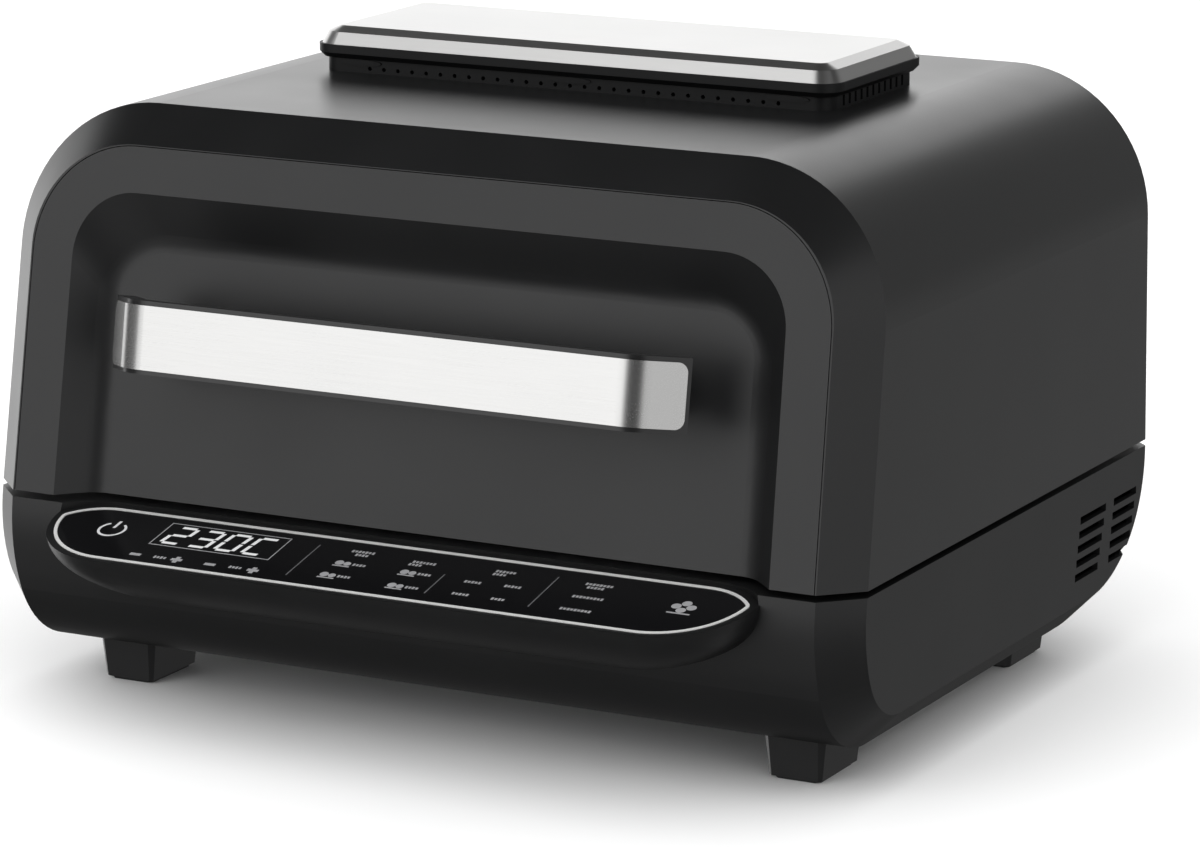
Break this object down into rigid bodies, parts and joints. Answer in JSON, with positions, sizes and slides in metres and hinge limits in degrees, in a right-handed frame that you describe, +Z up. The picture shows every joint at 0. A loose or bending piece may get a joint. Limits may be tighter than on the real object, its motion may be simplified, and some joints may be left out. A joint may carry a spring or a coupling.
{
  "type": "air fryer oven",
  "caption": "Wide countertop air fryer oven with a rear-hinged lid, front handle, tilted touch panel, lift-out pot and grill plate, vent cap, hot-air fan and short feet.",
  "frame": {"origin": "on the ground, in the middle of the outline seen from above", "axes": "+X to the right seen from the front, +Y to the back, +Z up"},
  "size_m": [0.44, 0.4089, 0.297],
  "materials": {
    "black_plastic": "moulded black plastic, fine grain",
    "satin_black": "satin black moulding",
    "dark_plastic": "glossy black",
    "panel_glass": "glossy black touch panel",
    "bright_trim": "bright plated trim",
    "stainless": "brushed stainless steel",
    "liner_steel": "bright sheet steel",
    "hinge_steel": "plain sheet steel",
    "screw_steel": "plated steel",
    "element_sheath": "dark oxidised tube",
    "nonstick_coating": "dark non-stick coating",
    "cast_plate": "coated cast plate",
    "aluminium_sheet": "pressed aluminium",
    "motor_case": "zinc plated case",
    "silicone": "grey heatproof silicone",
    "rubber": "black rubber",
    "circuit_board": "green board"
  },
  "bodies": {
    "base": {"base_housing": "black_plastic", "bottom_cover": "black_plastic", "well_liner": "liner_steel", "panel_ring": "bright_trim", "touch_panel": "panel_glass", "display_module": "dark_plastic", "control_board": "circuit_board", "power_board": "circuit_board", "foot_front_left": "black_plastic", "foot_front_right": "black_plastic", "foot_rear_left": "black_plastic", "foot_rear_right": "black_plastic", "foot_pads": "rubber", "cord_inlet": "rubber", "hinge_brackets": "hinge_steel", "hinge_pins": "hinge_steel", "bottom_screws": "screw_steel"},
    "lid": {"lid_hood": "satin_black", "front_fascia": "satin_black", "handle_body": "black_plastic", "handle_trim": "stainless", "lid_floor": "liner_steel", "lid_liner": "liner_steel", "lid_seal": "silicone", "heating_element": "element_sheath", "shield_clips": "hinge_steel", "fan_motor": "motor_case", "motor_bracket": "hinge_steel", "temperature_probe": "screw_steel", "vent_base": "black_plastic", "vent_plate": "stainless", "lid_hinge_arms": "hinge_steel", "hinge_screws": "screw_steel"},
    "pot": {"cooking_pot": "nonstick_coating"},
    "plate": {"grill_plate": "cast_plate"},
    "shield": {"splatter_shield": "liner_steel"},
    "rotor": {"motor_shaft": "screw_steel", "convection_fan": "aluminium_sheet", "cooling_fan": "aluminium_sheet"}
  },
  "joints": [
    {"name": "lid_hinge", "type": "hinge", "parent": "base", "child": "lid", "pos_m": [0, 0.197, 0.0975], "axis": [-1, 0, 0], "range_deg": [0, 80]},
    {"name": "fan_spin", "type": "hinge", "parent": "lid", "child": "rotor", "pos_m": [0, 0.02, 0.2], "axis": [0, 0, 1], "continuous": true},
    {"name": "shield_drop", "type": "slide", "parent": "lid", "child": "shield", "axis": [0, 0, -1], "range_m": [0, 0.02]},
    {"name": "pot_lift", "type": "slide", "parent": "base", "child": "pot", "axis": [0, 0, 1], "range_m": [0, 0.04]},
    {"name": "plate_lift", "type": "slide", "parent": "pot", "child": "plate", "axis": [0, 0, 1], "range_m": [0, 0.03]}
  ]
}
